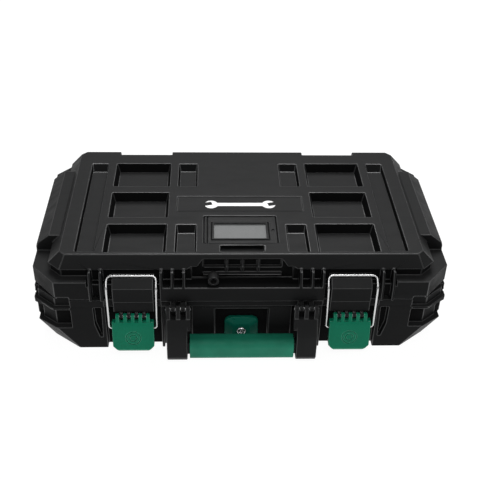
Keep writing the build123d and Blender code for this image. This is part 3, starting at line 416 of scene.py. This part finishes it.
def keep(obj, body, nodes=()):
    """Link a finished piece, put it on its body and hide the CAD nodes it stands for."""
    if obj.name not in bpy.context.scene.collection.objects:
        bpy.context.scene.collection.objects.link(obj)
    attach(obj, body)
    if nodes:
        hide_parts(*nodes)
    return obj


def settle(obj):
    """Apply every modifier of an object, so that its mesh is final."""
    bpy.context.view_layer.update()
    graph = bpy.context.evaluated_depsgraph_get()
    mesh = bpy.data.meshes.new_from_object(obj.evaluated_get(graph), depsgraph=graph)
    obj.modifiers.clear()
    old = obj.data
    obj.data = mesh
    bpy.data.meshes.remove(old)


def hold_to(obj, source, width):
    """Bring back any point that the rounding threw off the source's surface or out of its box."""
    mesh = source.data
    tree = BVHTree.FromPolygons([v.co for v in mesh.vertices], [p.vertices for p in mesh.polygons])
    low = [min(v.co[axis] for v in mesh.vertices) for axis in range(3)]
    high = [max(v.co[axis] for v in mesh.vertices) for axis in range(3)]
    for vertex in obj.data.vertices:
        nearest, _, _, distance = tree.find_nearest(vertex.co)
        if distance > STRAY * width:
            vertex.co = nearest
        vertex.co = [min(max(vertex.co[axis], low[axis]), high[axis]) for axis in range(3)]


def rounded(node, width):
    """A copy of a CAD node whose sharp edges are rounded, as moulding and tumbling leave them."""
    mesh = frame["nodes"][node].data.copy()
    mesh.materials.clear()
    main, edge = paints_for(node)
    for material in (main, edge, PAINTS["case_black_shaded"]):
        mesh.materials.append(material)
    work = bmesh.new()
    work.from_mesh(mesh)
    bmesh.ops.remove_doubles(work, verts=work.verts, dist=WELD)
    for face in work.faces:
        face.smooth = True
        # faces in the pockets, bays and ledges get the darker paint: painted shade
        face.material_index = SHADED if in_painted_shade(node, face) else MAIN
    work.to_mesh(mesh)
    work.free()
    obj = bpy.data.objects.new(node + "_body", mesh)
    bpy.context.scene.collection.objects.link(obj)
    bevel = obj.modifiers.new("bevel", "BEVEL")
    bevel.width = width
    bevel.segments = BEVEL_SEGMENTS
    bevel.limit_method = "ANGLE"
    bevel.angle_limit = BEVEL_ANGLE
    bevel.use_clamp_overlap = False
    bevel.miter_outer = "MITER_ARC"
    # the rounded edges take the lighter edge paint, a painted highlight
    bevel.material = HIGHLIT_EDGE
    weights = obj.modifiers.new("weights", "WEIGHTED_NORMAL")
    flat = NODE_SLOT[node].startswith(("case", "handle"))
    weights.weight = FLAT_WEIGHT if flat else ROUND_WEIGHT
    weights.keep_sharp = False
    settle(obj)
    hold_to(obj, frame["nodes"][node], width)
    return keep(obj, NODE_BODY[node], [node])


# ---------------------------------------------------------------- pieces built here
def mesh_piece(name, points, faces, node, sharp, stands_for=True):
    """A mesh in the finish of a CAD node, on that node's body, creased above an angle of sharp."""
    mesh = bpy.data.meshes.new(name)
    mesh.from_pydata(points, [], faces)
    mesh.validate()
    mesh.materials.append(PAINTS[NODE_SLOT[node]])
    work = bmesh.new()
    work.from_mesh(mesh)
    bmesh.ops.recalc_face_normals(work, faces=work.faces)
    for face in work.faces:
        face.smooth = True
    work.to_mesh(mesh)
    work.free()
    mesh.set_sharp_from_angle(angle=radians(sharp))
    obj = bpy.data.objects.new(name, mesh)
    return keep(obj, NODE_BODY[node], [node] if stands_for else ())


def loops(count, size, closed):
    """Faces between neighbouring rings of equal size, closed if the last ring meets the first."""
    faces = []
    for ring in range(count if closed else count - 1):
        near, far = ring * size, (ring + 1) % count * size
        for i in range(size):
            j = (i + 1) % size
            faces.append((near + i, near + j, far + j, far + i))
    return faces


FOAM_CORNER = 8.0 * MM
PEAK_PITCH, PEAK_SWELL = 21.0 * MM, 3.8 * MM
FOAM_CELLS = (126, 66)
# the peaks end this far above the bottom of the foam's box
PEAK_GAP = 0.2 * MM


def egg_crate(node):
    """Convoluted foam: a flat-backed slab whose underside stands in rows of soft peaks."""
    (x0, y0, z0), (x1, y1, z1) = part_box(node)
    columns, rows = FOAM_CELLS
    reach = x1 + y1 - FOAM_CORNER
    points, faces = [], []
    for row in range(rows + 1):
        for column in range(columns + 1):
            x = x0 + (x1 - x0) * column / columns
            y = y0 + (y1 - y0) * row / rows
            spill = max(0.0, abs(x) + abs(y) - reach) / 2
            x -= spill if x > 0 else -spill
            y -= spill if y > 0 else -spill
            wave = sin(2 * pi * x / PEAK_PITCH) * sin(2 * pi * y / PEAK_PITCH)
            points.append((x, y, z0 + PEAK_SWELL * (1.0 + wave) + PEAK_GAP))
    wide = columns + 1
    for row in range(rows):
        for column in range(columns):
            i = row * wide + column
            faces.append((i, i + 1, i + wide + 1, i + wide))
    # the rim runs along the front, the right, the back and the left
    rim = list(range(wide)) + [row * wide + columns for row in range(1, rows + 1)]
    rim += [rows * wide + column for column in range(columns - 1, -1, -1)]
    rim += [row * wide for row in range(rows - 1, 0, -1)]
    first = len(points)
    points += [(points[i][0], points[i][1], z1) for i in rim]
    size = len(rim)
    for i in range(size):
        j = (i + 1) % size
        faces.append((rim[i], rim[j], first + j, first + i))
    faces.append(tuple(range(first, first + size)))
    return mesh_piece("egg_crate_foam", points, faces, node, sharp=60.0)


# the ratchet's grip in millimetres: distance along it from the front end, and radius
GRIP_FRONT = [(0.0, 7.1), (0.0, 8.1), (0.5, 8.5), (6.0, 10.9), (14.0, 10.9), (20.0, 12.4)]
GRIP_BARREL = [(20.0, 12.4), (45.0, 13.4), (70.0, 14.0), (95.0, 14.3), (120.0, 14.4), (146.0, 13.4)]
GRIP_END = [(138.0, 13.7), (146.0, 13.4), (150.0, 12.2), (152.8, 10.2), (153.9, 8.4),
            (153.9, 3.0), (153.2, 2.6), (153.2, 0.05)]
GRIP_SIDES = 72
# a groove's section: distance from its middle, and depth
GROOVE = [(-2.0, 0.0), (-1.5, 0.25), (-1.1, 0.9), (1.1, 0.9), (1.5, 0.25), (2.0, 0.0)]
GROOVES, FIRST_GROOVE, GROOVE_PITCH = 12, 28.0, 9.0


def grip_radius(along):
    """Radius of the grip's barrel at a distance from its front end."""
    for (x0, r0), (x1, r1) in zip(GRIP_BARREL, GRIP_BARREL[1:]):
        if along <= x1:
            return r0 + (r1 - r0) * (along - x0) / (x1 - x0)
    return GRIP_BARREL[-1][1]


def ribbed_grip(node):
    """The ratchet's rubber grip: a swelling barrel with rounded grooves and a domed end."""
    (x0, y0, z0), (_, y1, z1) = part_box(node)
    centre_y, centre_z = (y0 + y1) / 2, (z0 + z1) / 2
    profile = list(GRIP_FRONT)
    for groove in range(GROOVES):
        middle = FIRST_GROOVE + GROOVE_PITCH * groove
        for offset, depth in GROOVE:
            profile.append((middle + offset, grip_radius(middle + offset) - depth))
    profile += GRIP_END
    points = []
    for along, radius in profile:
        x = x0 + along * MM
        for i in range(GRIP_SIDES):
            turn, reach = 2 * pi * i / GRIP_SIDES, radius * MM
            points.append((x, centre_y + reach * cos(turn), centre_z + reach * sin(turn)))
    faces = loops(len(profile), GRIP_SIDES, closed=False)
    faces.append(tuple(range(GRIP_SIDES)))
    faces.append(tuple(range(len(points) - GRIP_SIDES, len(points))))
    return mesh_piece("ribbed_grip", points, faces, node, sharp=40.0)


# a socket's radius outside grows with its size: radius = SOCKET_SLOPE * size + SOCKET_WALL
SOCKET_SLOPE, SOCKET_WALL = 0.66, 1.3
# teeth for each millimetre of the radius, before doubling
KNURL_DENSITY = 3.2
# the band's section: height over the socket's wall, and depth below its mouth
KNURL = [(-0.3, 10.2), (0.04, 10.2), (0.3, 9.8), (0.3, 7.2), (0.04, 6.8), (-0.3, 6.8)]
# height of the valleys between the teeth, and the height up to which the section has no teeth
KNURL_VALLEY, KNURL_FOOT = 0.05, 0.04


def knurled_band(node):
    """A raised knurled band below the mouth of a standing socket."""
    (x0, y0, _), (x1, y1, top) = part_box(node)
    centre_x, centre_y = (x0 + x1) / 2, (y0 + y1) / 2
    size = int(node.split("_")[1])
    radius = (SOCKET_SLOPE * size + SOCKET_WALL) * MM
    teeth = 2 * int(radius / MM * KNURL_DENSITY)
    points = []
    for height, depth in KNURL:
        z = top - depth * MM
        for i in range(2 * teeth):
            turn = pi * i / teeth
            plain = height <= KNURL_FOOT or i % 2
            reach = radius + (height if plain else KNURL_VALLEY) * MM
            points.append((centre_x + reach * cos(turn), centre_y + reach * sin(turn), z))
    faces = loops(len(KNURL), 2 * teeth, closed=True)
    return mesh_piece(node + "_knurl", points, faces, node, sharp=25.0, stands_for=False)


# ---------------------------------------------------------------- the pieces
BUILT = {"lid_foam": egg_crate, "ratchet_grip": ribbed_grip}

# widths of the rounded edges in millimetres
EDGE_WIDTHS = {
    "base_shell": 0.9, "lid_shell": 0.9, "handle_frame": 0.8, "purge_knob": 0.7,
    "latch_lever_left": 0.6, "latch_lever_right": 0.6, "label_frame": 0.5, "tool_tray": 0.8,
    "vent_plug": 0.4, "label_card": 0.1, "label_window": 0.2, "lid_seal": 0.7,
    "extension_long": 0.4, "extension_short": 0.4, "spark_plug_socket": 0.4,
    "spark_plug_insert": 0.4, "ratchet_body": 0.6, "ratchet_cover": 0.25,
    "ratchet_screws": 0.12, "ratchet_gear": 0.15, "ratchet_pawl": 0.15,
    "reversing_lever": 0.4, "release_button": 0.4, "purge_screw": 0.3,
    "handle_grip": 0.5, "lid_badge": 0.2, "latch_bail_left": 0.05,
    "latch_bail_right": 0.05, "extension_balls": 0.05, "drive_ball": 0.05,
}
# and for the nodes that aren't in that table
SOCKET_EDGE, OTHER_EDGE = 0.3, 0.25

for node in sorted(frame["nodes"]):
    if node in BUILT:
        BUILT[node](node)
        continue
    default = SOCKET_EDGE if node.startswith("socket_") else OTHER_EDGE
    rounded(node, EDGE_WIDTHS.get(node, default) * MM)
    if node.startswith("socket_"):
        knurled_band(node)
